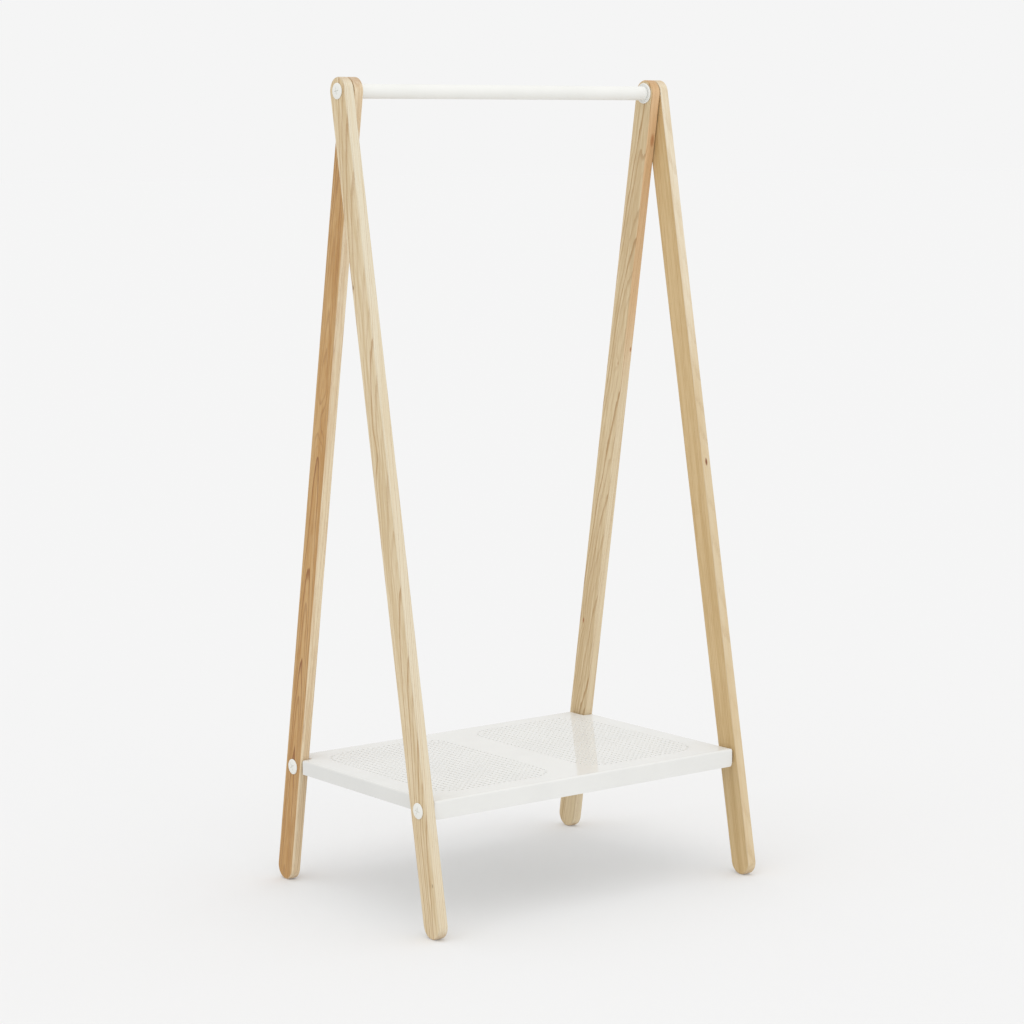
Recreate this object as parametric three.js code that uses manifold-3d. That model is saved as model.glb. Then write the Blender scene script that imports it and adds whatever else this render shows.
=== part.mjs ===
// A-frame clothes rack: four wooden legs in two crossed pairs, a white steel hanging rail between
// the tops of the pairs, and a folded sheet-steel tray bolted between the legs near the floor.
//
// Millimetres. +X runs along the rail, +Y is the back, +Z is up. The origin is on the floor, midway
// between the four feet and under the middle of the rail. Every joint is a through bolt.
import * as THREE from "three";
import { mergeVertices } from "three/addons/utils/BufferGeometryUtils.js";
import Module from "manifold-3d";

const wasm = await Module();
wasm.setup();

// ---------------------------------------------------------------- driving dimensions
const FIT_GAP = 0.3; // the clearance left between pieces that touch

const PIVOT_HEIGHT = 1574; // the bolt through the tops of the legs
const LEG_WIDTH = 53;
const LEG_THICKNESS = 20;
const LEG_LEAN = THREE.MathUtils.degToRad(10);
const LEG_EDGE_ROUND = 2.5;
const CLEAR_SPAN = 702; // between the inner faces of the two inner (rear) legs

const RAIL_DIAMETER = 28;
const RAIL_WALL = 1.5;
const PLUG_LENGTH = 26;
const COLLAR_DIAMETER = 41;
const COLLAR_THICKNESS = 3.5;
const COLLAR_EDGE_ROUND = 1.6;
const COLLAR_RIM = 2.8; // width of the raised rim around the seat
const COLLAR_DISH = 0.9; // how far the seat lies below the rim

const PIVOT_BOLT = { shank: 8, bore: 8.6, length: 69 };
const TRAY_BOLT = { shank: 6, bore: 6.6, length: 32.5 };
const HEAD_DIAMETER = 31;
const HEAD_RIM = 0.9; // the straight part of the head's edge
const HEAD_HEIGHT = 3.2;
const RECESS = { span: 16.5, slot: 2, depth: 1.7 };
const TIP_CHAMFER = 0.8;

const PIVOT_WASHER = { outer: 30, thickness: 0.8 };
const TRAY_SPACER = { outer: 18, thickness: 3 };
const NUT = { flats: 10, thickness: 5 };

const TRAY_TOP = 257; // height of the tray's upper face
const TRAY_DEPTH = 508;
const SHEET = 1.2;
const BEND_RADIUS = 4; // outside of the folds
const CORNER_RADIUS = 2; // upright corners, in plan
const LONG_LIP = 36; // front and back lips
const END_LIP = 29; // end lips and the walls of the two notches
const LIP_CORNER_RADIUS = 5;
const NOTCH_CLEARANCE = 1.2; // from the tray to the front edge of a rear leg
const BOLT_HEIGHT = 239;

// ---------------------------------------------------------------- sizes that follow from those
const pivotGap = PIVOT_WASHER.thickness + 2 * FIT_GAP;
const spacerGap = TRAY_SPACER.thickness + 2 * FIT_GAP;
const innerLegInside = CLEAR_SPAN / 2;
const innerLegOutside = innerLegInside + LEG_THICKNESS;
const outerLegInside = innerLegOutside + pivotGap;
const outerLegOutside = outerLegInside + LEG_THICKNESS;
const collarSeat = COLLAR_THICKNESS - COLLAR_DISH;
const footRadius = LEG_WIDTH / 2;
const legAxisLength = (PIVOT_HEIGHT - footRadius) / Math.cos(LEG_LEAN);
const trayBoltAlongLeg = (PIVOT_HEIGHT - BOLT_HEIGHT) / Math.cos(LEG_LEAN);
const trayBoltY = (PIVOT_HEIGHT - BOLT_HEIGHT) * Math.tan(LEG_LEAN);

const trayHalfDepth = TRAY_DEPTH / 2;
const trayHalfLength = outerLegInside - spacerGap;
const notchHalfLength = innerLegInside - spacerGap;
const legFrontEdgeAtTray =
  (PIVOT_HEIGHT - TRAY_TOP) * Math.tan(LEG_LEAN) - footRadius / Math.cos(LEG_LEAN);
const notchFrontY = legFrontEdgeAtTray - NOTCH_CLEARANCE;

// ---------------------------------------------------------------- materials
const ash = () => new THREE.MeshStandardMaterial({ color: 0xd0b283, roughness: 0.6, metalness: 0 });
const whitePaint = () => new THREE.MeshStandardMaterial({ color: 0xeeeeec, roughness: 0.4, metalness: 0 });
const whiteNylon = () => new THREE.MeshStandardMaterial({ color: 0xe6e6e2, roughness: 0.5, metalness: 0 });
const zincSteel = () => new THREE.MeshStandardMaterial({ color: 0xb9bcc0, roughness: 0.35, metalness: 1 });

// ---------------------------------------------------------------- solids
/** Turn a closed three.js geometry into a solid that can be cut and joined. */
function solidFrom(geometry) {
  geometry.deleteAttribute("normal");
  geometry.deleteAttribute("uv");
  const merged = mergeVertices(geometry, 1e-4);
  const corners = merged.index.array;
  const triangles = [];
  for (let i = 0; i < corners.length; i += 3) {
    const [a, b, c] = [corners[i], corners[i + 1], corners[i + 2]];
    if (a !== b && b !== c && c !== a) triangles.push(a, b, c);
  }
  const vertProperties = new Float32Array(merged.attributes.position.array);
  const triVerts = new Uint32Array(triangles);
  return new wasm.Manifold(new wasm.Mesh({ numProp: 3, vertProperties, triVerts }));
}

/** Turn a solid back into a geometry that a mesh can show. */
function geometryFrom(solid) {
  const { vertProperties, triVerts } = solid.getMesh();
  const geometry = new THREE.BufferGeometry();
  geometry.setAttribute("position", new THREE.BufferAttribute(new Float32Array(vertProperties), 3));
  geometry.setIndex(new THREE.BufferAttribute(new Uint32Array(triVerts), 1));
  geometry.computeVertexNormals();
  return geometry;
}

/** A closed solid of revolution about +Y. The profile runs from low to high, axis to axis. */
function turned(profile, segments) {
  const points = profile.map(([radius, height]) => new THREE.Vector2(radius, height));
  return solidFrom(new THREE.LatheGeometry(points, segments));
}

/** A round bar along +Y with its middle at `middle`, used as a bore cutter and as plain stock. */
function bar(diameter, length, middle = 0, segments = 16) {
  const geometry = new THREE.CylinderGeometry(diameter / 2, diameter / 2, length, segments);
  geometry.translate(0, middle, 0);
  return solidFrom(geometry);
}

function block(low, high) {
  const size = new THREE.Vector3().subVectors(high, low);
  const middle = new THREE.Vector3().addVectors(low, high).multiplyScalar(0.5);
  const geometry = new THREE.BoxGeometry(size.x, size.y, size.z);
  geometry.translate(middle.x, middle.y, middle.z);
  return solidFrom(geometry);
}

/** Skin a stack of rings that hold the same number of points, lowest ring first, and cap both ends. */
function lofted(rings) {
  const count = rings[0].length;
  const positions = rings.flat().flatMap((point) => [point.x, point.y, point.z]);
  const outline = rings[0].map((point) => new THREE.Vector2(point.x, point.y));
  const cap = THREE.ShapeUtils.triangulateShape(outline, []);
  const top = (rings.length - 1) * count;
  const index = [];
  for (const [a, b, c] of cap) {
    index.push(c, b, a);
    index.push(top + a, top + b, top + c);
  }
  for (let ring = 0; ring < rings.length - 1; ring += 1) {
    for (let i = 0; i < count; i += 1) {
      const a = ring * count + i;
      const b = ring * count + ((i + 1) % count);
      index.push(a, b, b + count, a, b + count, a + count);
    }
  }
  const geometry = new THREE.BufferGeometry();
  geometry.setAttribute("position", new THREE.Float32BufferAttribute(positions, 3));
  geometry.setIndex(index);
  return solidFrom(geometry);
}

// ---------------------------------------------------------------- sub-parts
/** A leg: a flat board with half-round ends, drawn upright with its pivot bore at the origin. */
function makeLeg() {
  const outline = new THREE.Shape();
  outline.absarc(0, 0, footRadius, 0, Math.PI);
  outline.absarc(0, -legAxisLength, footRadius, Math.PI, 2 * Math.PI);
  const board = new THREE.ExtrudeGeometry(outline, {
    depth: LEG_THICKNESS - 2 * LEG_EDGE_ROUND,
    curveSegments: 10,
    bevelEnabled: true,
    bevelThickness: LEG_EDGE_ROUND,
    bevelSize: LEG_EDGE_ROUND,
    bevelOffset: -LEG_EDGE_ROUND,
    bevelSegments: 2,
  });
  // The outline was drawn in depth and height, and its thickness runs along X.
  board.translate(0, 0, LEG_EDGE_ROUND - LEG_THICKNESS / 2);
  board.applyMatrix4(
    new THREE.Matrix4().makeBasis(
      new THREE.Vector3(0, 1, 0),
      new THREE.Vector3(0, 0, 1),
      new THREE.Vector3(1, 0, 0),
    ),
  );
  const borePast = 2 * LEG_THICKNESS;
  const pivotBore = bar(PIVOT_BOLT.bore, borePast).rotate([0, 0, 90]);
  const trayBore = bar(TRAY_BOLT.bore, borePast).rotate([0, 0, 90]).translate([0, 0, -trayBoltAlongLeg]);
  return geometryFrom(solidFrom(board).subtract(pivotBore).subtract(trayBore));
}

/** A bolt with a low domed head and a cross recess. The head's underside is at height 0, facing down. */
function makeBolt({ shank, length }) {
  const domeSteps = 4;
  const headRadius = HEAD_DIAMETER / 2;
  const profile = [
    [0, -length],
    [shank / 2 - TIP_CHAMFER, -length],
    [shank / 2, TIP_CHAMFER - length],
    [shank / 2, 0],
    [headRadius, 0],
  ];
  for (let step = 0; step <= domeSteps; step += 1) {
    const angle = (step / domeSteps) * (Math.PI / 2);
    profile.push([headRadius * Math.cos(angle), HEAD_RIM + (HEAD_HEIGHT - HEAD_RIM) * Math.sin(angle)]);
  }
  profile[profile.length - 1][0] = 0;
  const arm = RECESS.span / 2;
  const half = RECESS.slot / 2;
  const floor = HEAD_HEIGHT - RECESS.depth;
  const above = HEAD_HEIGHT + 1;
  const slotOne = block(new THREE.Vector3(-arm, floor, -half), new THREE.Vector3(arm, above, half));
  const slotTwo = block(new THREE.Vector3(-half, floor, -arm), new THREE.Vector3(half, above, arm));
  return geometryFrom(turned(profile, 24).subtract(slotOne).subtract(slotTwo));
}

/** A flat ring about +Y, its lower face at height 0. */
function makeRing(outer, bore, thickness) {
  const cutter = bar(bore, 3 * thickness, thickness / 2);
  return geometryFrom(bar(outer, thickness, thickness / 2, 24).subtract(cutter));
}

/** The collar at a rail end: a disc with a rounded, raised rim around its seat for the rail (+Y). */
function makeCollar() {
  const roundSteps = 3;
  const radius = COLLAR_DIAMETER / 2;
  const profile = [
    [0, 0],
    [radius, 0],
  ];
  for (let step = 0; step <= roundSteps; step += 1) {
    const angle = (step / roundSteps) * (Math.PI / 2);
    profile.push([
      radius - COLLAR_EDGE_ROUND * (1 - Math.cos(angle)),
      COLLAR_THICKNESS - COLLAR_EDGE_ROUND * (1 - Math.sin(angle)),
    ]);
  }
  const insideRim = radius - COLLAR_RIM;
  profile.push([insideRim, COLLAR_THICKNESS], [insideRim, collarSeat], [0, collarSeat]);
  return geometryFrom(turned(profile, 32).subtract(bar(PIVOT_BOLT.bore, 4 * COLLAR_THICKNESS)));
}

/** The rail: a round tube along X, centred on the origin. */
function makeRail() {
  const length = CLEAR_SPAN - 2 * (collarSeat + 2 * FIT_GAP);
  const bore = bar(RAIL_DIAMETER - 2 * RAIL_WALL, length + 2, 0, 32);
  const tube = bar(RAIL_DIAMETER, length, 0, 32).subtract(bore);
  return geometryFrom(tube.rotate([0, 0, 90]));
}

/** A hexagonal nut about +Y with chamfered corners, its lower face at height 0. */
function makeNut() {
  const cornerRadius = NUT.flats / 2 / Math.cos(Math.PI / 6);
  const chamfer = cornerRadius - NUT.flats / 2;
  const prism = bar(2 * cornerRadius, NUT.thickness, NUT.thickness / 2, 6);
  const envelope = turned(
    [
      [0, 0],
      [cornerRadius - chamfer, 0],
      [cornerRadius, chamfer],
      [cornerRadius, NUT.thickness - chamfer],
      [cornerRadius - chamfer, NUT.thickness],
      [0, NUT.thickness],
    ],
    12,
  );
  return geometryFrom(prism.intersect(envelope).subtract(bar(TRAY_BOLT.bore, 4 * NUT.thickness)));
}

/** The tray's plan outline, moved inwards by `inset`: a rectangle with a notch at each back corner. */
function trayOutline(inset) {
  const x = trayHalfLength - inset;
  const notchX = notchHalfLength - inset;
  const front = inset - trayHalfDepth;
  const back = trayHalfDepth - inset;
  const notchY = notchFrontY - inset;
  const outside = Math.max(CORNER_RADIUS - inset, 0.2);
  const inside = 0.2 + inset;
  const corners = [
    { at: [-x, front], radius: outside },
    { at: [x, front], radius: outside },
    { at: [x, notchY], radius: outside },
    { at: [notchX, notchY], radius: inside },
    { at: [notchX, back], radius: outside },
    { at: [-notchX, back], radius: outside },
    { at: [-notchX, notchY], radius: inside },
    { at: [-x, notchY], radius: outside },
  ];
  const arcSteps = 3;
  return corners.flatMap(({ at, radius }, i) => {
    const corner = new THREE.Vector2(...at);
    const before = new THREE.Vector2(...corners[(i + 7) % 8].at).sub(corner).setLength(radius);
    const after = new THREE.Vector2(...corners[(i + 1) % 8].at).sub(corner).setLength(radius);
    const centre = corner.clone().add(before).add(after);
    return Array.from({ length: arcSteps + 1 }, (_, step) => {
      const angle = (step / arcSteps) * (Math.PI / 2);
      return centre
        .clone()
        .addScaledVector(after, -Math.cos(angle))
        .addScaledVector(before, -Math.sin(angle));
    });
  });
}

/** The stack of outlines that a folded pan has at one surface of its sheet. */
function panRings(inset, bottom) {
  const bendSteps = 4;
  const radius = BEND_RADIUS - inset;
  const at = (offset, z) => trayOutline(offset).map((p) => new THREE.Vector3(p.x, p.y, z));
  const rings = [at(inset, bottom)];
  for (let step = 0; step <= bendSteps; step += 1) {
    const angle = (step / bendSteps) * (Math.PI / 2);
    const offset = inset + radius * (1 - Math.cos(angle));
    rings.push(at(offset, TRAY_TOP - BEND_RADIUS + radius * Math.sin(angle)));
  }
  return rings;
}

/** A cutter that rounds the lower outer corner of a lip that ends at x = `end`. */
function lipCornerCutter(end, lipY) {
  const side = Math.sign(end);
  const radius = LIP_CORNER_RADIUS;
  const lipBottom = TRAY_TOP - LONG_LIP;
  const reach = 3 * SHEET;
  const square = block(
    new THREE.Vector3(Math.min(end - side * radius, end + side), lipY - reach, lipBottom - 1),
    new THREE.Vector3(Math.max(end - side * radius, end + side), lipY + reach, lipBottom + radius),
  );
  const round = bar(2 * radius, 4 * reach).translate([end - side * radius, lipY, lipBottom + radius]);
  return square.subtract(round);
}

function makeTray() {
  const lipBottom = TRAY_TOP - LONG_LIP;
  const below = 10;
  let tray = lofted(panRings(0, lipBottom)).subtract(lofted(panRings(SHEET, lipBottom - below)));
  const lipInside = trayHalfDepth - SHEET;
  for (const side of [-1, 1]) {
    // The end lip and the notch walls stop higher than the front and back lips.
    const inner = side * (notchHalfLength - BEND_RADIUS);
    const outer = side * (trayHalfLength + 1);
    tray = tray.subtract(
      block(
        new THREE.Vector3(Math.min(inner, outer), -lipInside, lipBottom - below),
        new THREE.Vector3(Math.max(inner, outer), lipInside, TRAY_TOP - END_LIP),
      ),
    );
    tray = tray.subtract(lipCornerCutter(side * trayHalfLength, -trayHalfDepth));
    tray = tray.subtract(lipCornerCutter(side * notchHalfLength, trayHalfDepth));
    for (const boltY of [-trayBoltY, trayBoltY]) {
      const wallX = side * (boltY < 0 ? trayHalfLength : notchHalfLength);
      const bore = bar(TRAY_BOLT.bore, 4 * BEND_RADIUS).rotate([0, 0, 90]);
      tray = tray.subtract(bore.translate([wallX, boltY, BOLT_HEIGHT]));
    }
  }
  return geometryFrom(tray);
}

// ---------------------------------------------------------------- assembly
const rack = new THREE.Group();

function addPiece(name, geometry, material, parent = rack) {
  const mesh = new THREE.Mesh(geometry, material);
  mesh.name = name;
  parent.add(mesh);
  return mesh;
}

/** Stand a piece that was made about +Y on the X axis, its +Y pointing to `direction` (-1 or +1). */
function layAlongX(mesh, direction, x, y, z) {
  mesh.rotation.z = (-direction * Math.PI) / 2;
  mesh.position.set(x, y, z);
}

addPiece("rail_tube", makeRail(), whitePaint()).position.z = PIVOT_HEIGHT;
addPiece("tray", makeTray(), whitePaint());

for (const [side, direction] of [["left", -1], ["right", 1]]) {
  // The front leg is the outer one of each pair, and the rear leg the inner one.
  const front = addPiece(`leg_front_${side}`, makeLeg(), ash());
  front.position.set((direction * (outerLegInside + outerLegOutside)) / 2, 0, PIVOT_HEIGHT);
  front.rotation.x = -LEG_LEAN;
  const rear = addPiece(`leg_rear_${side}`, makeLeg(), ash());
  rear.position.set((direction * (innerLegInside + innerLegOutside)) / 2, 0, PIVOT_HEIGHT);
  rear.rotation.x = LEG_LEAN;

  const washer = makeRing(PIVOT_WASHER.outer, PIVOT_BOLT.bore, PIVOT_WASHER.thickness);
  const washerX = direction * (innerLegOutside + FIT_GAP);
  layAlongX(addPiece(`pivot_washer_${side}`, washer, whiteNylon()), direction, washerX, 0, PIVOT_HEIGHT);

  const collarX = direction * (innerLegInside - FIT_GAP);
  const collar = addPiece(`rail_collar_${side}`, makeCollar(), whitePaint());
  layAlongX(collar, -direction, collarX, 0, PIVOT_HEIGHT);

  const plug = makeRing(RAIL_DIAMETER - 2 * RAIL_WALL - 2 * FIT_GAP, PIVOT_BOLT.bore, PLUG_LENGTH);
  const plugX = direction * (innerLegInside - collarSeat - 2 * FIT_GAP);
  layAlongX(addPiece(`rail_plug_${side}`, plug, zincSteel()), -direction, plugX, 0, PIVOT_HEIGHT);

  const pivotBolt = addPiece(`pivot_bolt_${side}`, makeBolt(PIVOT_BOLT), whitePaint());
  layAlongX(pivotBolt, direction, direction * (outerLegOutside + FIT_GAP), 0, PIVOT_HEIGHT);

  const trayJoints = [
    { end: "front", y: -trayBoltY, legOutside: outerLegOutside, wall: trayHalfLength },
    { end: "rear", y: trayBoltY, legOutside: innerLegOutside, wall: notchHalfLength },
  ];
  for (const { end, y, legOutside, wall } of trayJoints) {
    const bolt = addPiece(`tray_bolt_${end}_${side}`, makeBolt(TRAY_BOLT), whitePaint());
    layAlongX(bolt, direction, direction * (legOutside + FIT_GAP), y, BOLT_HEIGHT);

    const ring = makeRing(TRAY_SPACER.outer, TRAY_BOLT.bore, TRAY_SPACER.thickness);
    const spacer = addPiece(`tray_spacer_${end}_${side}`, ring, whiteNylon());
    layAlongX(spacer, direction, direction * (wall + FIT_GAP), y, BOLT_HEIGHT);

    const nut = addPiece(`tray_nut_${end}_${side}`, makeNut(), zincSteel());
    layAlongX(nut, -direction, direction * (wall - SHEET - FIT_GAP), y, BOLT_HEIGHT);
  }
}

export default rack;
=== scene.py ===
"""The looks of an A-frame clothes rack: ash legs, a white hanging rail and a perforated white tray.

Metres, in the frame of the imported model: +X runs along the rail, +Y is the back, +Z is up. Every
piece takes its place and its main sizes from the boxes of the CAD nodes that it stands for.
"""
import math

import bmesh
import bpy
from mathutils import Matrix, Vector


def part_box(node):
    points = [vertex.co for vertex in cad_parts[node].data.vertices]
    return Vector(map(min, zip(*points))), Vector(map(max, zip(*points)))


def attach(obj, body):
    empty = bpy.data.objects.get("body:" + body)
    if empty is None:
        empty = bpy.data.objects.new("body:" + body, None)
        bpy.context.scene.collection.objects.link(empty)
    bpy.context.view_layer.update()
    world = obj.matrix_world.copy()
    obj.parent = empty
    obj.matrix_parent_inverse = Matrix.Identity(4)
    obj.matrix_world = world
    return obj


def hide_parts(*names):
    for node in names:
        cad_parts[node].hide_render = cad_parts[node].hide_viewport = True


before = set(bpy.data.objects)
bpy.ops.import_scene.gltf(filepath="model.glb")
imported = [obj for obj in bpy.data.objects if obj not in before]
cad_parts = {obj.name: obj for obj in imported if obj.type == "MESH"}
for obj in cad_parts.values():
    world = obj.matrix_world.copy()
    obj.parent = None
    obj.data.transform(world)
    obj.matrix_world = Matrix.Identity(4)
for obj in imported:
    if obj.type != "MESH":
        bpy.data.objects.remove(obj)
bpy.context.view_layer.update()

MM = 0.001
FIT_GAP = 0.3 * MM

# ---------------------------------------------------------------- sizes that the boxes don't give
LEG_EDGE_ROUND = 2.5 * MM

RAIL_WALL = 1.5 * MM
COLLAR_EDGE_ROUND = 1.6 * MM
COLLAR_RIM = 2.8 * MM  # width of the raised rim around the collar's face
COLLAR_DISH = 0.9 * MM  # how far the face lies below the rim
COLLAR_STEP = 0.4 * MM  # the slope and the small rounds between the face and the rim

HEAD_DIAMETER = 31 * MM
HEAD_RIM = 0.9 * MM
HEAD_HEIGHT = 3.2 * MM
HEAD_EDGE = 0.3 * MM  # the chamfer around the head's seat
DOME_STEPS = 10
RECESS_SPAN = 16.5 * MM
RECESS_SLOT = 2.0 * MM
RECESS_DEPTH = 1.7 * MM
PIVOT_SHANK = 8 * MM
TRAY_SHANK = 6 * MM
TIP_CHAMFER = 0.8 * MM
BORE_CLEARANCE = 0.6 * MM
THREAD_PITCH = 1.0 * MM
THREAD_DEPTH = 0.45 * MM
THREAD_LENGTH = 14 * MM
THREAD_STEPS = 6  # rings of vertices for each turn of the thread

RING_EDGE_ROUND = 0.25 * MM
NUT_FLATS = 10 * MM
NUT_CHAMFER = 0.65 * MM
NUT_LEAD = 0.4 * MM  # the chamfer of the nut's bore
NUT_SIDES = 48

TRAY_SHEET = 1.2 * MM
TRAY_BEND = 4 * MM  # outside radius of the folds
TRAY_CORNER = 2 * MM  # upright corners, in plan
TIGHT_CORNER = 0.2 * MM  # the least radius of such a corner
TRAY_END_LIP = 29 * MM
TRAY_LIP_CORNER = 5 * MM
NOTCH_CLEARANCE = 1.2 * MM

HOLE_PITCH = 12.55 * MM
HOLE_DIAMETER = 5.9 * MM
HOLE_COLUMNS = 23
HOLE_ROWS = 34
HOLE_SIDES = 12
PANEL_OFFSET_X = 181.5 * MM  # from the tray's middle to the middle of each perforated panel
PANEL_MIDDLE_Y = 3 * MM
CORNER_CELLS = 4  # the rounded corner of a panel takes this many columns and rows
CORNER_HOLES = 5  # holes along the corner's arc, between the last ones of its two straight sides

SHARP_ANGLE = math.radians(40)
ARC_STEPS = 6  # segments in a quarter turn
WELD = 0.002 * MM  # vertices that lie closer than this become one
SAME_LEVEL = 0.001 * MM


# ---------------------------------------------------------------- camera, light and floor
CAMERA_PLACE = (-3.280, -4.416, 1.455)
CAMERA_HEADING = math.radians(-36.66)  # from +Y, anticlockwise as seen from above
CAMERA_DOWN = math.radians(7.345)
CAMERA_ROLL = math.radians(-0.493)
CAMERA_LENS = 97.75  # millimetres, for a picture 36 mm wide
CAMERA_SENSOR = 36

# Each lamp's strength is what it adds to a white surface that faces it.
ROOM_GREY = "F5F5F5"
OVERHEAD_LAMP = {"strength": 0.19, "direction": (-0.19, -0.25, 0.95), "spread": 60}
FRONT_LAMP = {"strength": 0.14, "direction": (0.05, -1, 0.15), "spread": 40}
FLOOR_GLOW = 0.12  # the part of the floor's brightness that shadows don't take away
FLOOR_REACH = 150  # metres from the middle to each side


def rgb(code):
    """A linear colour from its sRGB hex code."""
    channels = [int(code[i : i + 2], 16) / 255 for i in (0, 2, 4)]
    return [c / 12.92 if c <= 0.04045 else ((c + 0.055) / 1.055) ** 2.4 for c in channels]


def add_camera():
    """The camera stands in front of the rack's left end, a little below the height of the rail."""
    data = bpy.data.cameras.new("camera")
    data.lens = CAMERA_LENS
    data.sensor_width = CAMERA_SENSOR
    data.clip_end = 400
    camera = bpy.data.objects.new("camera", data)
    bpy.context.scene.collection.objects.link(camera)
    heading = Matrix.Rotation(CAMERA_HEADING, 4, "Z")
    tilt = Matrix.Rotation(math.pi / 2 - CAMERA_DOWN, 4, "X")
    roll = Matrix.Rotation(CAMERA_ROLL, 4, "Z")
    camera.matrix_world = Matrix.Translation(CAMERA_PLACE) @ heading @ tilt @ roll
    bpy.context.scene.camera = camera


def add_lamp(name, settings):
    """Add a soft distant light, and return how much it brightens a white floor."""
    direction = Vector(settings["direction"]).normalized()
    lamp = bpy.data.lights.new(name, "SUN")
    lamp.energy = settings["strength"] * math.pi
    lamp.angle = math.radians(settings["spread"])
    light = bpy.data.objects.new(name, lamp)
    light.rotation_mode = "QUATERNION"
    light.rotation_quaternion = direction.to_track_quat("Z", "Y")
    bpy.context.scene.collection.objects.link(light)
    return settings["strength"] * direction.z


def add_studio():
    """An even bright room with two soft lights, and a floor that looks as pale as the room."""
    room_light = rgb(ROOM_GREY)[0]
    on_floor = room_light + add_lamp("overhead", OVERHEAD_LAMP) + add_lamp("front", FRONT_LAMP)

    world = bpy.data.worlds.new("room")
    world.use_nodes = True
    world.node_tree.nodes["Background"].inputs["Color"].default_value = [room_light] * 3 + [1]
    bpy.context.scene.world = world
    bpy.context.scene.view_settings.view_transform = "Standard"

    reach = FLOOR_REACH
    corners = [(-reach, -reach, 0), (reach, -reach, 0), (reach, reach, 0), (-reach, reach, 0)]
    mesh = bpy.data.meshes.new("floor")
    mesh.from_pydata(corners, [], [(0, 1, 2, 3)])
    floor = bpy.data.objects.new("floor", mesh)
    bpy.context.scene.collection.objects.link(floor)
    paint = bpy.data.materials.new("floor")
    paint.use_nodes = True
    surface = paint.node_tree.nodes["Principled BSDF"]
    whiteness = (1 - FLOOR_GLOW) * room_light / on_floor
    surface.inputs["Base Color"].default_value = [whiteness] * 3 + [1]
    surface.inputs["Emission Color"].default_value = [1, 1, 1, 1]
    surface.inputs["Emission Strength"].default_value = FLOOR_GLOW * room_light
    surface.inputs["Roughness"].default_value = 1
    surface.inputs["Specular IOR Level"].default_value = 0
    mesh.materials.append(paint)


# ---------------------------------------------------------------- materials
class Shader:
    """A material, with one short call for each kind of node that it is built from."""

    def __init__(self, name):
        self.material = bpy.data.materials.new(name)
        self.material.use_nodes = True
        self.tree = self.material.node_tree
        self.surface = self.tree.nodes["Principled BSDF"]

    def feed(self, socket, value):
        if isinstance(value, bpy.types.NodeSocket):
            self.tree.links.new(value, socket)
        elif socket.type == "RGBA":
            socket.default_value = [*value[:3], 1]
        else:
            socket.default_value = value

    def node(self, kind, inputs, output=0, **settings):
        node = self.tree.nodes.new(kind)
        for name, value in settings.items():
            setattr(node, name, value)
        for key, value in inputs.items():
            self.feed(node.inputs[key], value)
        return node.outputs[output]

    def place(self):
        """The point on the piece, in millimetres of the rack's frame."""
        metres = self.node("ShaderNodeTexCoord", {}, "Object")
        return self.vector("MULTIPLY", metres, (1000, 1000, 1000))

    def place_in(self, matrix):
        """The point on the piece, in millimetres of the frame that `matrix` (metres) sets in the rack."""
        offset = self.vector("SUBTRACT", self.place(), matrix.translation * 1000)
        axes = matrix.to_3x3().col
        return self.join(*(self.vector("DOT_PRODUCT", offset, tuple(axis)) for axis in axes))

    def split(self, vector):
        node = self.tree.nodes.new("ShaderNodeSeparateXYZ")
        self.feed(node.inputs[0], vector)
        return node.outputs[0], node.outputs[1], node.outputs[2]

    def join(self, x, y, z):
        return self.node("ShaderNodeCombineXYZ", {0: x, 1: y, 2: z})

    def math(self, operation, a, b=0.0):
        return self.node("ShaderNodeMath", {0: a, 1: b}, operation=operation)

    def vector(self, operation, a, b=(0, 0, 0)):
        output = "Value" if operation in ("LENGTH", "DOT_PRODUCT") else "Vector"
        return self.node("ShaderNodeVectorMath", {0: a, 1: b}, output, operation=operation)

    def noise(self, place, stretch, detail=2.0, output="Fac"):
        """Noise whose features measure about one over `stretch`, in millimetres along X, Y and Z."""
        inputs = {"Vector": self.vector("MULTIPLY", place, stretch), "Scale": 1.0, "Detail": detail}
        return self.node("ShaderNodeTexNoise", inputs, output)

    def fade(self, value, low, high, at_low=0.0, at_high=1.0):
        """A smooth step: `at_low` where the value is below `low`, `at_high` above `high`."""
        inputs = {0: value, 1: low, 2: high, 3: at_low, 4: at_high}
        return self.node("ShaderNodeMapRange", inputs, interpolation_type="SMOOTHSTEP")

    def mix(self, share, a, b):
        return self.node("ShaderNodeMix", {0: share, 6: a, 7: b}, 2, data_type="RGBA")

    def bump(self, height, depth):
        """Relief `depth` deep where the height goes from 0 to 1."""
        inputs = {"Height": height, "Distance": depth, "Strength": 1.0}
        self.feed(self.surface.inputs["Normal"], self.node("ShaderNodeBump", inputs))

    def set(self, **inputs):
        for name, value in inputs.items():
            self.feed(self.surface.inputs[name.replace("_", " ")], value)


# How tightly the wood's noises are packed across and along the leg, in features per millimetre.
WANDER_GRAIN = (0.01, 0.01, 0.003)
RIPPLE_GRAIN = (0.12, 0.12, 0.012)
BROAD_GRAIN = (0.06, 0.06, 0.0022)
STREAK_GRAIN = (0.25, 0.25, 0.008)
FIBRE_GRAIN = (0.8, 0.8, 0.03)
PORE_GRAIN = (3.2, 3.2, 0.11)
KNOT_SQUEEZE = 0.35  # a knot is drawn out along the leg by the inverse of this

# Millimetres: the rim of a board begins and ends this far inside its outline.
RIM_START = 3.1
RIM_END = 1.3


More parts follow.
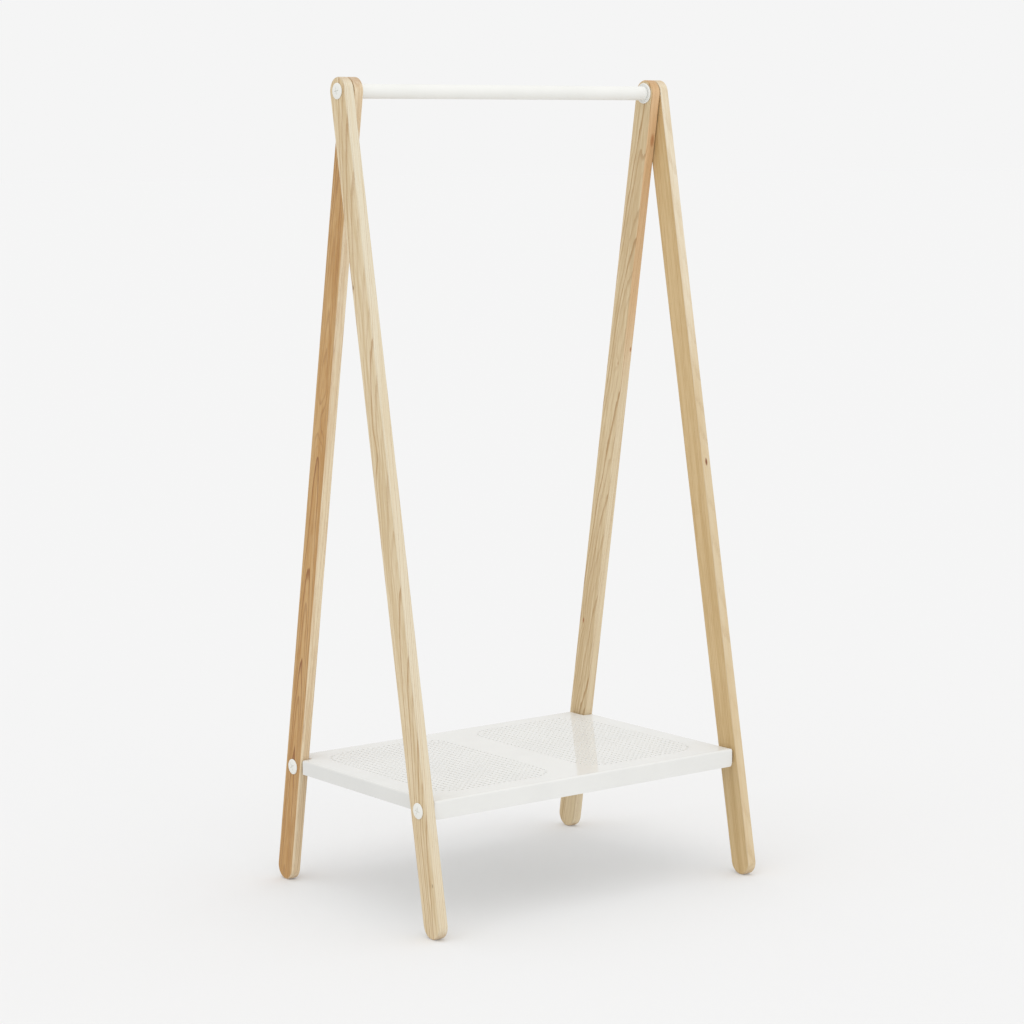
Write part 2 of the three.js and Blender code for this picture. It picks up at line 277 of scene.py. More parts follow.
def add_knots(shader, place, radius, knots):
    """Make the rings bulge around each knot; returns their radius and the darkness of the cores."""
    cores = 0.0
    for centre, reach, darkness in knots:
        offset = shader.vector("SUBTRACT", place, centre)
        distance = shader.vector("LENGTH", shader.vector("MULTIPLY", offset, (1, 1, KNOT_SQUEEZE)))
        swell = shader.fade(distance, 0.0, 5 * reach, 0.9 * reach, 0.0)
        radius = shader.math("ADD", radius, swell)
        core = shader.fade(distance, 0.4 * reach, 1.1 * reach, darkness, 0.0)
        cores = shader.math("MAXIMUM", cores, core)
    return radius, cores


def ring_radius(shader, place, shifted, wood):
    """The distance from the pith, with a slow wander and a finer ripple of the grain."""
    wander = shader.noise(shifted, WANDER_GRAIN, 1.0, "Color")
    wander = shader.vector("SUBTRACT", wander, (0.5, 0.5, 0.5))
    wander = shader.vector("MULTIPLY", wander, (wood["wander"], wood["wander"], 0))
    x, y, z = shader.split(shader.vector("ADD", place, wander))
    drift_x = shader.math("MULTIPLY", z, wood["drift"][0])
    drift_y = shader.math("MULTIPLY", z, wood["drift"][1])
    from_pith_x = shader.math("ADD", shader.math("SUBTRACT", x, wood["pith"][0]), drift_x)
    from_pith_y = shader.math("ADD", shader.math("SUBTRACT", y, wood["pith"][1]), drift_y)
    radius = shader.vector("LENGTH", shader.join(from_pith_x, from_pith_y, 0.0))
    ripple = shader.noise(shifted, RIPPLE_GRAIN, 2.0)
    return shader.math("ADD", radius, shader.math("MULTIPLY", ripple, wood["ripple"]))


def ring_lines(shader, radius, spacing):
    """Each ring darkens slowly and ends in a sharp line; some rings are much stronger than others."""
    ring = shader.math("DIVIDE", radius, spacing)
    number = shader.math("FLOOR", ring)
    through = shader.math("FRACT", ring)
    dice = shader.node("ShaderNodeTexWhiteNoise", {"W": number}, "Value", noise_dimensions="1D")
    strength = shader.fade(dice, 0.0, 1.0, 0.15, 1.0)
    line = shader.math("MULTIPLY", shader.fade(through, 0.5, 0.88), strength)
    return shader.math("MULTIPLY", line, shader.fade(through, 0.92, 1.0, 1.0, 0.0))


def make_wood(name, wood, matrix, length, half_width):
    """Solid ash: growth rings around a pith line outside the leg, cut by the leg's faces.

    wood["pith"] is where that line passes the leg's top, in X and Y millimetres from the pivot, and
    wood["drift"] how far it moves in X and Y for each millimetre down the leg. A drift in X makes the
    pointed arches of flat-sawn boards, and a drift in Y makes the lines slant across the faces.
    """
    shader = Shader(name)
    place = shader.place_in(matrix)
    shifted = shader.vector("ADD", place, (wood["seed"], 0, 0))
    radius = ring_radius(shader, place, shifted, wood)
    radius, knot_core = add_knots(shader, place, radius, wood["knots"])
    line = ring_lines(shader, radius, wood["ring"])

    # Fibres, pores and streaks all run along the leg.
    broad = shader.noise(shifted, BROAD_GRAIN, 2.0)
    streak = shader.noise(shifted, STREAK_GRAIN, 2.0)
    fibre = shader.noise(shifted, FIBRE_GRAIN, 3.0)
    pore_noise = shader.noise(shifted, PORE_GRAIN, 2.0)
    in_line = shader.fade(line, 0.0, 0.5, 0.2, 1.0)
    pores = shader.math("MULTIPLY", shader.fade(pore_noise, 0.56, 0.68), in_line)
    tone = shader.math("ADD", shader.math("MULTIPLY", broad, 0.35), shader.math("MULTIPLY", streak, 0.35))
    tone = shader.math("ADD", tone, shader.math("MULTIPLY", fibre, 0.3))
    tone = shader.fade(tone, 0.42, 0.58)

    # The rim of the board, where the cut runs across the rings, and the end grain at both ends.
    flat_y, flat_z = shader.split(place)[1:]
    above = shader.math("MAXIMUM", flat_z, 0.0)
    below = shader.math("MAXIMUM", shader.math("SUBTRACT", -length / MM, flat_z), 0.0)
    beyond = shader.math("ADD", above, below)
    from_middle = shader.vector("LENGTH", shader.join(0.0, flat_y, beyond))
    rim = shader.fade(from_middle, half_width / MM - RIM_START, half_width / MM - RIM_END)
    end_grain = shader.math("MULTIPLY", rim, shader.fade(beyond, 8.0, 24.0, 0.0, 0.3))

    # The narrow edges go from one tone to another on the way down the leg.
    # Their pale colours are partly the wood's own tone and partly painted front light and sheen.
    edge_top_wood_and_light, edge_foot_wood_and_light = wood["edge"]
    edge = shader.mix(shader.fade(flat_z, -650.0, -400.0), rgb(edge_foot_wood_and_light), rgb(edge_top_wood_and_light))
    edge = shader.mix(shader.math("MULTIPLY", tone, 0.35), edge, rgb(wood["body"]))
    edge_line = shader.math("MULTIPLY", line, wood["edge_contrast"])
    edge = shader.mix(edge_line, edge, rgb(wood["line"]))

    colour = shader.mix(tone, rgb(wood["pale"]), rgb(wood["body"]))
    face_line = shader.math("MULTIPLY", line, wood["contrast"])
    colour = shader.mix(face_line, colour, rgb(wood["line"]))
    colour = shader.mix(rim, colour, edge)
    colour = shader.mix(end_grain, colour, rgb(wood["line"]))
    colour = shader.mix(shader.math("MULTIPLY", pores, 0.3), colour, rgb(wood["pore"]))
    colour = shader.mix(knot_core, colour, rgb(wood["knot"]))

    roughness = shader.fade(fibre, 0.3, 0.7, 0.44, 0.58)
    relief = shader.math("SUBTRACT", 1.0, pores)
    relief = shader.math("SUBTRACT", relief, shader.math("MULTIPLY", line, 0.25))
    shader.set(Base_Color=colour, Roughness=roughness, IOR=1.45)
    shader.bump(relief, 0.1 * MM)
    return shader.material


def make_powder_coat(name, tint, deep_tint, roughness, orange_peel, ior):
    """White powder coat: faint clouding and the soft orange-peel texture of baked powder."""
    shader = Shader(name)
    place = shader.place()
    cloud = shader.noise(place, (0.01, 0.01, 0.01), 3.0)
    peel = shader.noise(place, (0.45, 0.45, 0.45), 1.0)
    grit = shader.noise(place, (2.5, 2.5, 2.5), 1.0)
    colour = shader.mix(shader.fade(cloud, 0.3, 0.7), rgb(tint), rgb(deep_tint))
    rough = shader.fade(grit, 0.3, 0.7, 0.8 * roughness, 1.2 * roughness)
    shader.set(Base_Color=colour, Roughness=rough, IOR=ior)
    shader.bump(shader.math("ADD", peel, shader.math("MULTIPLY", grit, 0.15)), orange_peel)
    return shader.material


def make_nylon():
    """Natural white nylon, slightly translucent, with faint moulding flow."""
    shader = Shader("nylon")
    place = shader.place()
    flow = shader.noise(place, (0.08, 0.3, 0.3), 3.0)
    grain = shader.noise(place, (3, 3, 3), 1.0)
    colour = shader.mix(shader.fade(flow, 0.3, 0.7), rgb("DEDDD8"), rgb("D3D1C9"))
    rough = shader.fade(grain, 0.3, 0.7, 0.42, 0.52)
    shader.set(Base_Color=colour, Roughness=rough, IOR=1.53, Subsurface_Weight=0.15)
    shader.surface.inputs["Subsurface Radius"].default_value = (0.002, 0.002, 0.0018)
    shader.bump(grain, 0.01 * MM)
    return shader.material


def make_zinc():
    """Bright zinc plate: turned marks around the axis and a faint blue and straw passivation."""
    shader = Shader("zinc")
    place = shader.place()
    cloud = shader.noise(place, (0.25, 0.25, 0.25), 2.0)
    turned_marks = shader.noise(place, (6, 0.4, 0.4), 2.0)
    colour = shader.mix(shader.fade(cloud, 0.3, 0.7), rgb("C3C8CE"), rgb("CBC6B6"))
    rough = shader.fade(turned_marks, 0.3, 0.7, 0.24, 0.4)
    shader.set(Base_Color=colour, Roughness=rough, Metallic=1.0)
    shader.bump(turned_marks, 0.015 * MM)
    return shader.material


# ---------------------------------------------------------------- shapes
def new_object(name, shape):
    """An object from a bmesh, with its faces pointing out."""
    bmesh.ops.recalc_face_normals(shape, faces=shape.faces)
    mesh = bpy.data.meshes.new(name)
    shape.to_mesh(mesh)
    shape.free()
    piece = bpy.data.objects.new(name, mesh)
    bpy.context.scene.collection.objects.link(piece)
    return piece


def skin(shape, low, high):
    """Faces between two rings of vertices; a ring of one vertex is a pole."""
    count = max(len(low), len(high))
    for i in range(count):
        j = (i + 1) % count
        corners = [low[i % len(low)], low[j % len(low)], high[j % len(high)], high[i % len(high)]]
        shape.faces.new(list(dict.fromkeys(corners)))


def lofted(name, rings):
    """A closed body through rings of points that hold the same number of points."""
    shape = bmesh.new()
    loops = [[shape.verts.new(point) for point in ring] for ring in rings]
    for low, high in zip(loops, loops[1:]):
        skin(shape, low, high)
    shape.faces.new(loops[0])
    shape.faces.new(loops[-1])
    return new_object(name, shape)


def turned(name, profile, sides=64, closed=False):
    """A body turned about X from (x, radius) points. A closed profile makes a ring."""
    shape = bmesh.new()
    loops = []
    for x, radius in profile:
        if radius == 0:
            loops.append([shape.verts.new((x, 0, 0))])
            continue
        angles = [2 * math.pi * i / sides for i in range(sides)]
        loops.append([shape.verts.new((x, radius * math.cos(a), radius * math.sin(a))) for a in angles])
    for low, high in zip(loops, loops[1:] + loops[:1] if closed else loops[1:]):
        skin(shape, low, high)
    return new_object(name, shape)


def rounded(corners, closed=False, steps=5):
    """A profile through (x, radius, fillet) corners, with an arc in place of each filleted corner."""
    profile = []
    for i, (x, radius, fillet) in enumerate(corners):
        point = Vector((x, radius))
        if fillet == 0 or (not closed and i in (0, len(corners) - 1)):
            profile.append(point)
            continue
        to_last = (Vector(corners[i - 1][:2]) - point).normalized() * fillet
        to_next = (Vector(corners[(i + 1) % len(corners)][:2]) - point).normalized() * fillet
        for step in range(steps + 1):
            angle = step / steps * math.pi / 2
            away = to_last * (1 - math.sin(angle)) + to_next * (1 - math.cos(angle))
            profile.append(point + away)
    return [(x, radius) for x, radius in profile]


def cut(piece, cutter):
    """Take the cutter's volume out of the piece, and weld the slivers that this leaves."""
    modifier = piece.modifiers.new("cut", "BOOLEAN")
    modifier.operation = "DIFFERENCE"
    modifier.solver = "EXACT"
    modifier.object = cutter
    graph = bpy.context.evaluated_depsgraph_get()
    mesh = bpy.data.meshes.new_from_object(piece.evaluated_get(graph))
    shape = bmesh.new()
    shape.from_mesh(mesh)
    bmesh.ops.remove_doubles(shape, verts=shape.verts, dist=WELD)
    bmesh.ops.dissolve_degenerate(shape, edges=shape.edges, dist=WELD)
    shape.to_mesh(mesh)
    shape.free()
    piece.modifiers.clear()
    piece.data = mesh
    bpy.data.objects.remove(cutter)


def make_drill(start, end, diameter):
    """A plain bar along X, to bore holes with."""
    return turned("drill", [(start, 0), (start, diameter / 2), (end, diameter / 2), (end, 0)], 32)


def dress(piece, node, slot, *materials):
    """Shade the piece, let it stand for its CAD node and tie it to the rack's one body."""
    piece.data.polygons.foreach_set("use_smooth", [True] * len(piece.data.polygons))
    piece.data.set_sharp_from_angle(angle=SHARP_ANGLE)
    piece.data.materials.clear()
    for material in materials:
        piece.data.materials.append(material)
    weighted = piece.modifiers.new("even shading", "WEIGHTED_NORMAL")
    weighted.keep_sharp = True
    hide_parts(node)
    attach(piece, "root")


def centre_of(node):
    low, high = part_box(node)
    return (low + high) / 2


def put_on_axis(piece, node, outward):
    """Place a piece that was made about X, its +X pointing to `outward` (-1 or +1) from x = 0."""
    middle = centre_of(node)
    turn = Matrix.Rotation(0 if outward > 0 else math.pi, 4, "Z")
    piece.matrix_world = Matrix.Translation((0, middle.y, middle.z)) @ turn


# ---------------------------------------------------------------- legs
def stadium(radius, length, inset, steps=40):
    """The outline of a leg in Y and Z: half-round ends around the pivot and around the foot."""
    reach = radius - inset
    top = [math.pi * i / steps for i in range(steps + 1)]
    foot = [math.pi + angle for angle in top]
    points = [(reach * math.cos(a), reach * math.sin(a)) for a in top]
    return points + [(reach * math.cos(a), reach * math.sin(a) - length) for a in foot]


def add_leg(end, side):
    """A leg, drawn upright around its pivot and then leant forwards or back."""
    node = f"leg_{end}_{side}"
    low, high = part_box(node)
    thickness = high.x - low.x
    radius = -low.y if end == "rear" else high.y
    pivot = Vector(((low.x + high.x) / 2, 0, high.z - radius))
    foot_y = low.y + radius if end == "front" else high.y - radius
    foot = Vector((pivot.x, foot_y, low.z + radius))
    length = (foot - pivot).length
    lean = math.atan2(foot.y - pivot.y, pivot.z - foot.z)

    rings = []
    for face in (-1, 1):
        for step in range(ARC_STEPS + 1):
            angle = step / ARC_STEPS * math.pi / 2
            if face > 0:
                angle = math.pi / 2 - angle
            inset = LEG_EDGE_ROUND * (1 - math.sin(angle))
            x = face * (thickness / 2 - LEG_EDGE_ROUND * (1 - math.cos(angle)))
            rings.append([(x, y, z) for y, z in stadium(radius, length, inset)])
    leg = lofted(f"wood_{node}", rings)

    tray_bolt = centre_of(f"tray_bolt_{end}_{side}")
    to_tray_bolt = math.hypot(tray_bolt.y, pivot.z - tray_bolt.z)
    for depth, shank in ((0, PIVOT_SHANK), (to_tray_bolt, TRAY_SHANK)):
        drill = make_drill(-thickness, thickness, shank + BORE_CLEARANCE)
        drill.matrix_world = Matrix.Translation((0, 0, -depth))
        bpy.context.view_layer.update()
        cut(leg, drill)
    matrix = Matrix.Translation(pivot) @ Matrix.Rotation(lean, 4, "X")
    leg.data.transform(matrix)
    wood = make_wood(f"wood {end} {side}", WOODS[node], matrix, length, radius)
    dress(leg, node, "leg_wood", wood)


# ---------------------------------------------------------------- rail
def add_rail(material):
    low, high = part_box("rail_tube")
    outer = (high.z - low.z) / 2
    inner = outer - RAIL_WALL
    corners = [(low.x, outer, 0.4 * MM), (high.x, outer, 0.4 * MM)]
    corners += [(high.x, inner, 0.3 * MM), (low.x, inner, 0.3 * MM)]
    rail = turned("rail", rounded(corners, closed=True), 96, closed=True)
    put_on_axis(rail, "rail_tube", 1)
    dress(rail, "rail_tube", "rail_paint", material)


def add_collar(side, outward, material):
    """The dished disc that the rail's end sits in, its rim rounded."""
    node = f"rail_collar_{side}"
    low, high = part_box(node)
    radius = (high.z - low.z) / 2
    back = max(abs(low.x), abs(high.x))
    front = min(abs(low.x), abs(high.x))
    bore = (PIVOT_SHANK + BORE_CLEARANCE) / 2
    face = front + COLLAR_DISH
    inside_rim = radius - COLLAR_RIM
    corners = [(back, bore, 0), (back, radius, 0.3 * MM), (front, radius, COLLAR_EDGE_ROUND)]
    corners += [(front, inside_rim + COLLAR_STEP, 0.5 * MM)]
    corners += [(face, inside_rim, COLLAR_STEP), (face, bore, 0)]
    collar = turned(f"disc_{node}", rounded(corners, closed=True), 96, closed=True)
    put_on_axis(collar, node, outward)
    dress(collar, node, "rail_paint", material)


# ---------------------------------------------------------------- bolts, nuts and rings
def cross_cutter(top):
    """A cross with tapered arms, reaching RECESS_DEPTH below x = `top`."""
    rings = []
    for depth, share in ((-1 * MM, 1.08), (0, 1.0), (RECESS_DEPTH, 0.72)):
        arm = RECESS_SPAN / 2 * share
        half = RECESS_SLOT / 2 * share
        quarter = [(arm, -half), (arm, half), (half, half)]
        ring = []
        for turn in range(4):
            angle = turn * math.pi / 2
            for u, v in quarter:
                y = u * math.cos(angle) - v * math.sin(angle)
                z = u * math.sin(angle) + v * math.cos(angle)
                ring.append((top - depth, y, z))
        rings.append(ring)
    return lofted("cross", rings)


def cut_thread(piece, start, end):
    """Press a helical groove into the shank between two places along X."""
    for vertex in piece.data.vertices:
        x, y, z = vertex.co
        if start < x < end:
            radius = math.hypot(y, z)
            turn = math.atan2(z, y) / (2 * math.pi)
            groove = abs((x / THREAD_PITCH + turn) % 1 * 2 - 1)
            fade = min(1, (x - start) / THREAD_PITCH, (end - x) / THREAD_PITCH)
            share = 1 - THREAD_DEPTH * groove * fade / radius
            vertex.co = (x, y * share, z * share)


def line_recess(bolt, seat):
    """Give the second material, a dark painted shade, to the faces that lie inside the cross recess."""
    rise = HEAD_HEIGHT - HEAD_RIM
    for face in bolt.data.polygons:
        x, y, z = face.center
        share = math.hypot(y, z) / (HEAD_DIAMETER / 2)
        if x > seat + 0.5 * MM and share < 0.7:
            dome = seat + HEAD_RIM + rise * math.sqrt(1 - share * share)
            face.material_index = int(x < dome - 0.25 * MM)


def add_bolt(node, shank, outward, head_turn, paint, recess_shade):
    """A bolt with a low domed head, a cross recess and a rolled thread at its tip."""
    low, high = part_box(node)
    tip = min(abs(low.x), abs(high.x))
    seat = max(abs(low.x), abs(high.x)) - HEAD_HEIGHT
    head_radius = HEAD_DIAMETER / 2
    radius = shank / 2
    thread_start = tip + TIP_CHAMFER
    profile = [(tip, 0), (tip, radius - TIP_CHAMFER), (thread_start, radius)]
    rows = round(THREAD_LENGTH / THREAD_PITCH * THREAD_STEPS)
    for row in range(1, rows + 1):
        profile.append((thread_start + THREAD_LENGTH * row / rows, radius))
    profile.append((seat, radius))
    profile.append((seat, head_radius - HEAD_EDGE))
    profile.append((seat + HEAD_EDGE, head_radius))
    for step in range(DOME_STEPS + 1):
        angle = step / DOME_STEPS * math.pi / 2
        x = seat + HEAD_RIM + (HEAD_HEIGHT - HEAD_RIM) * math.sin(angle)
        profile.append((x, head_radius * math.cos(angle) if step < DOME_STEPS else 0))
    bolt = turned(f"steel_{node}", profile)
    cut_thread(bolt, thread_start, thread_start + THREAD_LENGTH)
    cutter = cross_cutter(seat + HEAD_HEIGHT)
    cutter.matrix_world = Matrix.Rotation(head_turn, 4, "X")
    bpy.context.view_layer.update()
    cut(bolt, cutter)
    # The faces inside the cross recess get the dark painted shade.
    line_recess(bolt, seat)
    put_on_axis(bolt, node, outward)
    dress(bolt, node, "bolt_paint", paint, recess_shade)


def add_ring(node, shank, outward, material):
    """A nylon washer or spacer with softened edges."""
    low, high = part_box(node)
    near = min(abs(low.x), abs(high.x))
    far = max(abs(low.x), abs(high.x))
    outer = (high.z - low.z) / 2
    bore = (shank + BORE_CLEARANCE) / 2
    soft = RING_EDGE_ROUND
    corners = [(near, bore, soft), (near, outer, soft), (far, outer, soft), (far, bore, soft)]
    ring = turned(f"ring_{node}", rounded(corners, closed=True, steps=3), 64, closed=True)
    put_on_axis(ring, node, outward)
    dress(ring, node, "nylon", material)


def add_nut(node, outward, material):
    """A hexagonal nut whose corners are chamfered by a cone at both ends."""
    low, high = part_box(node)
    near = min(abs(low.x), abs(high.x))
    far = max(abs(low.x), abs(high.x))
    half_flats = NUT_FLATS / 2
    bore = (TRAY_SHANK + BORE_CLEARANCE) / 2
    shape = bmesh.new()
    loops = []
    corner = half_flats / math.cos(math.pi / 6)
    stations = [(near, half_flats), (near + NUT_CHAMFER, corner)]
    stations += [(far - NUT_CHAMFER, corner), (far, half_flats)]
    for x, cone in stations:
        loop = []
        for i in range(NUT_SIDES):
            angle = 2 * math.pi * i / NUT_SIDES
            from_flat = (angle + math.pi / 6) % (math.pi / 3) - math.pi / 6
            reach = min(cone, half_flats / math.cos(from_flat))
            loop.append(shape.verts.new((x, reach * math.cos(angle), reach * math.sin(angle))))
        loops.append(loop)
    angles = [2 * math.pi * i / NUT_SIDES for i in range(NUT_SIDES)]
    stations = [(far, bore + NUT_LEAD), (far - NUT_LEAD, bore)]
    stations += [(near + NUT_LEAD, bore), (near, bore + NUT_LEAD)]
    for x, radius in stations:
        loops.append([shape.verts.new((x, radius * math.cos(a), radius * math.sin(a))) for a in angles])
    for first, second in zip(loops, loops[1:] + loops[:1]):
        skin(shape, first, second)
    nut = new_object(f"steel_{node}", shape)
    put_on_axis(nut, node, outward)
    dress(nut, node, "zinc_steel", material)


# ---------------------------------------------------------------- tray
class Sheet:
    """The folded tray as one closed skin, which shares each vertex between the faces around it."""

    def __init__(self):
        self.shape = bmesh.new()
        self.known = {}
        self.low, self.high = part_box("tray")
        self.half_notch = abs(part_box("tray_spacer_rear_right")[0].x) - FIT_GAP
        self.long_lip = self.high.z - self.low.z

        leg_low, leg_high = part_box("leg_front_right")
        leg_radius = leg_high.y
        run = -(leg_low.y + leg_radius)
        rise = leg_high.z - leg_low.z - 2 * leg_radius
        drop = leg_high.z - leg_radius - self.high.z
        leg_edge = drop * run / rise - leg_radius * math.hypot(run, rise) / rise
        self.notch_front = leg_edge - NOTCH_CLEARANCE

    def vertex(self, x, y, z):
        key = (round(x * 1e7), round(y * 1e7), round(z * 1e7))
        if key not in self.known:
            self.known[key] = self.shape.verts.new((x, y, z))
        return self.known[key]

    def band(self, first, second):
        """A closed strip of four-sided faces between two rings of points."""
        for i in range(len(first)):
            j = (i + 1) % len(first)
            corners = (first[i], first[j], second[j], second[i])
            self.shape.faces.new([self.vertex(*corner) for corner in corners])

    def outline(self, inset):
        """(x, y, depth of the lip) around the tray's plan, moved inwards by `inset`."""
        x = self.high.x - inset
        notch_x = self.half_notch - inset
        front = self.low.y + inset
        back = self.high.y - inset
        notch_y = self.notch_front - inset
        outside = max(TRAY_CORNER - inset, TIGHT_CORNER)
        inside = TIGHT_CORNER + inset
        corners = [(-x, front, outside), (x, front, outside), (x, notch_y, outside)]
        corners += [(notch_x, notch_y, inside), (notch_x, back, outside)]
        corners += [(-notch_x, back, outside), (-notch_x, notch_y, inside), (-x, notch_y, outside)]
        long_sides = (0, 4)
        points = []
        for i, (corner_x, corner_y, radius) in enumerate(corners):
            corner = Vector((corner_x, corner_y))
            following = Vector(corners[(i + 1) % 8][:2])
            before = (Vector(corners[i - 1][:2]) - corner).normalized()
            after = (following - corner).normalized()
            centre = corner + (before + after) * radius
            for step in range(ARC_STEPS + 1):
                angle = step / ARC_STEPS * math.pi / 2
                point = centre - (after * math.cos(angle) + before * math.sin(angle)) * radius
                points.append((*point, TRAY_END_LIP))
            if i in long_sides:
                start = corner + after * radius
                stop = following - after * corners[(i + 1) % 8][2]
                ramp = [step / ARC_STEPS * math.pi / 2 for step in range(1, ARC_STEPS + 1)]
                for angle in ramp:
                    point = start + after * TRAY_LIP_CORNER * (1 - math.cos(angle))
                    points.append((*point, self.lip_depth(angle)))
                for angle in reversed(ramp):
                    point = stop - after * TRAY_LIP_CORNER * (1 - math.cos(angle))
                    points.append((*point, self.lip_depth(angle)))
        return points

    def lip_depth(self, angle):
        """The depth of a long lip along its rounded lower corner, from 0 to a quarter turn."""
        return TRAY_END_LIP + (self.long_lip - TRAY_END_LIP) * math.sin(angle)

    def rings(self, skin_inset):
        """The rings of one surface of the sheet, from the lips' lower edges to the deck."""
        radius = TRAY_BEND - skin_inset
        rings = [[(x, y, self.high.z - depth) for x, y, depth in self.outline(skin_inset)]]
        for step in range(ARC_STEPS + 1):
            angle = step / ARC_STEPS * math.pi / 2
            inset = skin_inset + radius * (1 - math.cos(angle))
            z = self.high.z - TRAY_BEND + radius * math.sin(angle)
            rings.append([(x, y, z) for x, y, depth in self.outline(inset)])
        return rings

    def add_folds(self):
        outer = self.rings(0)
        inner = self.rings(TRAY_SHEET)
        for low, high in [*zip(outer, outer[1:]), *zip(inner, inner[1:]), (inner[0], outer[0])]:
            self.band(low, high)

    def circle(self, x, y, z):
        angles = [math.radians(15) + 2 * math.pi * i / HOLE_SIDES for i in range(HOLE_SIDES)]
        reach = HOLE_DIAMETER / 2
        return [(x + reach * math.cos(a), y + reach * math.sin(a), z) for a in angles]

    def cell_border(self, x, y, z):
        """The square cell around a hole, with one point for each point of the hole's edge."""
        border = []
        for hole_x, hole_y, level in self.circle(0, 0, z):
            share = HOLE_PITCH / 2 / max(abs(hole_x), abs(hole_y))
            border.append((x + hole_x * share, y + hole_y * share, level))
        return border

    def add_hole(self, x, y, with_cell):
        """A round hole through the sheet, and perhaps the square of sheet around it."""
        top, bottom = self.high.z, self.high.z - TRAY_SHEET
        self.band(self.circle(x, y, top), self.circle(x, y, bottom))
        if with_cell:
            for z in (top, bottom):
                self.band(self.circle(x, y, z), self.cell_border(x, y, z))

    def add_panel(self, middle_x):
        """A lattice of holes whose outermost row and column follow the panel's rounded corners."""
        half_x = (HOLE_COLUMNS - 1) / 2 * HOLE_PITCH
        half_y = (HOLE_ROWS - 1) / 2 * HOLE_PITCH
        radius = CORNER_CELLS * HOLE_PITCH
        for column in range(HOLE_COLUMNS):
            for row in range(HOLE_ROWS):
                x = column * HOLE_PITCH - half_x
                y = row * HOLE_PITCH - half_y
                into_x = abs(x) - (half_x - radius)
                into_y = abs(y) - (half_y - radius)
                in_corner = min(into_x, into_y) > HOLE_PITCH / 2
                if not in_corner or math.hypot(into_x, into_y) < radius - HOLE_PITCH / 2:
                    self.add_hole(middle_x + x, PANEL_MIDDLE_Y + y, not in_corner)
        for side_x in (-1, 1):
            for side_y in (-1, 1):
                for hole in range(1, CORNER_HOLES + 1):
                    angle = hole / (CORNER_HOLES + 1) * math.pi / 2
                    x = side_x * (half_x - radius * (1 - math.cos(angle)))
                    y = side_y * (half_y - radius * (1 - math.sin(angle)))
                    self.add_hole(middle_x + x, PANEL_MIDDLE_Y + y, False)

    def add_deck(self):
        """Fill both surfaces of the deck between the folds and the two panels."""
        for z in (self.high.z, self.high.z - TRAY_SHEET):
            edges = [edge for edge in self.shape.edges if edge.is_boundary]
            edges = [edge for edge in edges if all(abs(v.co.z - z) < SAME_LEVEL for v in edge.verts)]
            bmesh.ops.triangle_fill(self.shape, use_beauty=True, edges=edges, normal=(0, 0, 1))


def add_tray(material):
    sheet = Sheet()
    sheet.add_folds()
    sheet.add_panel(-PANEL_OFFSET_X)
    sheet.add_panel(PANEL_OFFSET_X)
    sheet.add_deck()
    tray = new_object("folded_tray", sheet.shape)
    for side in ("left", "right"):
        for end in ("front", "rear"):
            spacer_low, spacer_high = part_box(f"tray_spacer_{end}_{side}")
            middle = (spacer_low + spacer_high) / 2
            reach = 4 * TRAY_BEND
            drill = make_drill(middle.x - reach, middle.x + reach, TRAY_SHANK + BORE_CLEARANCE)
            drill.matrix_world = Matrix.Translation((0, middle.y, middle.z))
            bpy.context.view_layer.update()
            cut(tray, drill)
    dress(tray, "tray", "tray_paint", material)
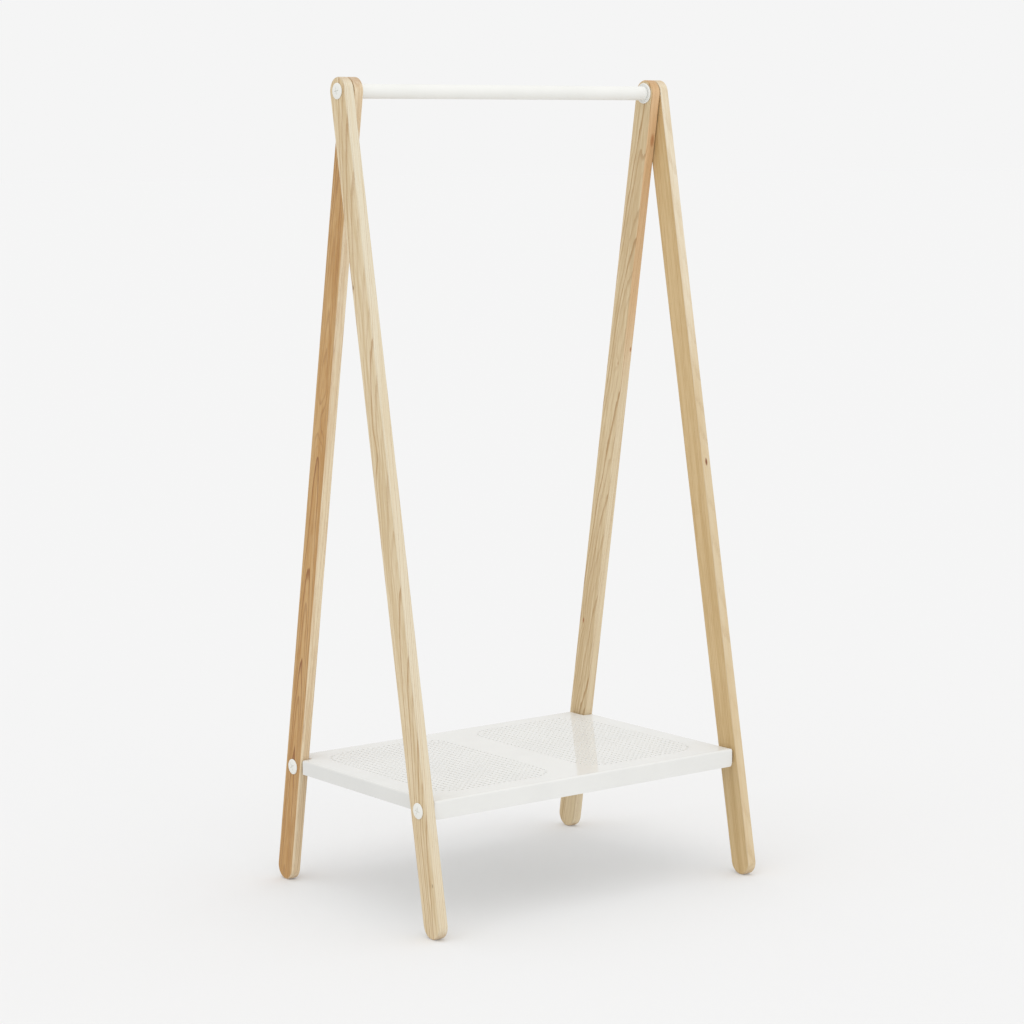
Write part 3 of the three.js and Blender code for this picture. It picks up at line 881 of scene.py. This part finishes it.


# ---------------------------------------------------------------- the four woods
# Places are millimetres from the leg's pivot: X through the thickness, Y to the back, Z up the leg.
# Each "edge" pair, top then foot, is partly the wood's own edge tone and partly painted front light and
# sheen.
WOODS = {
    "leg_front_left": {
        "seed": 0, "pith": (111, -33), "drift": (-0.05, 0.0), "ring": 3.8, "wander": 11, "ripple": 1.2,
        "contrast": 0.7, "edge_contrast": 0.35, "pale": "E2D0AE", "body": "D2BB92", "line": "AC7E46",
        "edge": ("DFD5BD", "DDD1B7"), "pore": "8C663A", "knot": "6E4A2A",
        "knots": [((-9, 21, -368), 2.4, 0.8), ((-9, -19, -1496), 2.0, 0.8), ((-9, 4, -690), 4.5, 0.15)],
    },
    "leg_rear_left": {
        "seed": 170, "pith": (40, 0), "drift": (-0.018, 0.0), "ring": 1.9, "wander": 9, "ripple": 1.4,
        "contrast": 0.85, "edge_contrast": 0.35, "pale": "CCA771", "body": "B98B4F", "line": "874D1C",
        "edge": ("E4D3B4", "E3D2B2"), "pore": "6E4520", "knot": "5C3A20",
        "knots": [((-9, -4, -640), 6.0, 0.0)],
    },
    "leg_rear_right": {
        "seed": 410, "pith": (140, -34), "drift": (-0.03, 0.0), "ring": 2.6, "wander": 8, "ripple": 2.0,
        "contrast": 0.75, "edge_contrast": 0.8, "pale": "DCC8A2", "body": "CAB187", "line": "A67A44",
        "edge": ("D9B488", "DFCFAF"), "pore": "7E5A30", "knot": "A05C2A",
        "knots": [
            ((-9, -9, -561), 2.2, 0.6), ((-9, 13, -1131), 3.0, 0.9), ((5, -26, -528), 2.4, 0.8),
            ((2, -28, -92), 6.0, 0.6),
        ],
    },
    "leg_front_right": {
        "seed": 640, "pith": (20, 80), "drift": (0.0, 0.06), "ring": 4.6, "wander": 6, "ripple": 1.6,
        "contrast": 0.6, "edge_contrast": 0.15, "pale": "D6BB8C", "body": "C9AB78", "line": "B58D54",
        "edge": ("E2D6BE", "D4C19F"), "pore": "86663E", "knot": "7E4620",
        "knots": [((-1, -26, -758), 3.4, 0.95)],
    },
}
HEAD_TURNS = {"pivot": 0.15, "tray_front": -0.2, "tray_rear": 0.55}  # radians

# ---------------------------------------------------------------- assembly
add_camera()
add_studio()

rail_paint = make_powder_coat(
    "rail paint", "EAEAE6", "E7E7E3", roughness=0.5, orange_peel=0.03 * MM, ior=1.15
)
tray_paint = make_powder_coat(
    "tray paint", "E4E4E1", "E1E1DE", roughness=0.012, orange_peel=0.002 * MM, ior=1.17
)
bolt_paint = make_powder_coat(
    "bolt paint", "EDEDE8", "EAEAE4", roughness=0.4, orange_peel=0.02 * MM, ior=1.4
)
# Dark grey painted shade for the insides of the cross recesses.
recess_shade = make_powder_coat(
    "recess painted shade", "4C4B48", "3E3D3A", roughness=0.45, orange_peel=0.02 * MM, ior=1.4
)
nylon = make_nylon()
zinc = make_zinc()

add_rail(rail_paint)
add_tray(tray_paint)
for side, outward in (("left", -1), ("right", 1)):
    add_collar(side, outward, rail_paint)
    add_ring(f"pivot_washer_{side}", PIVOT_SHANK, outward, nylon)
    add_bolt(f"pivot_bolt_{side}", PIVOT_SHANK, outward, HEAD_TURNS["pivot"], bolt_paint, recess_shade)
    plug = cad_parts[f"rail_plug_{side}"]
    plug.data.materials.clear()
    plug.data.materials.append(zinc)
    for end in ("front", "rear"):
        add_leg(end, side)
        turn = HEAD_TURNS[f"tray_{end}"]
        add_bolt(f"tray_bolt_{end}_{side}", TRAY_SHANK, outward, turn, bolt_paint, recess_shade)
        add_ring(f"tray_spacer_{end}_{side}", TRAY_SHANK, outward, nylon)
        add_nut(f"tray_nut_{end}_{side}", outward, zinc)

bpy.context.view_layer.update()
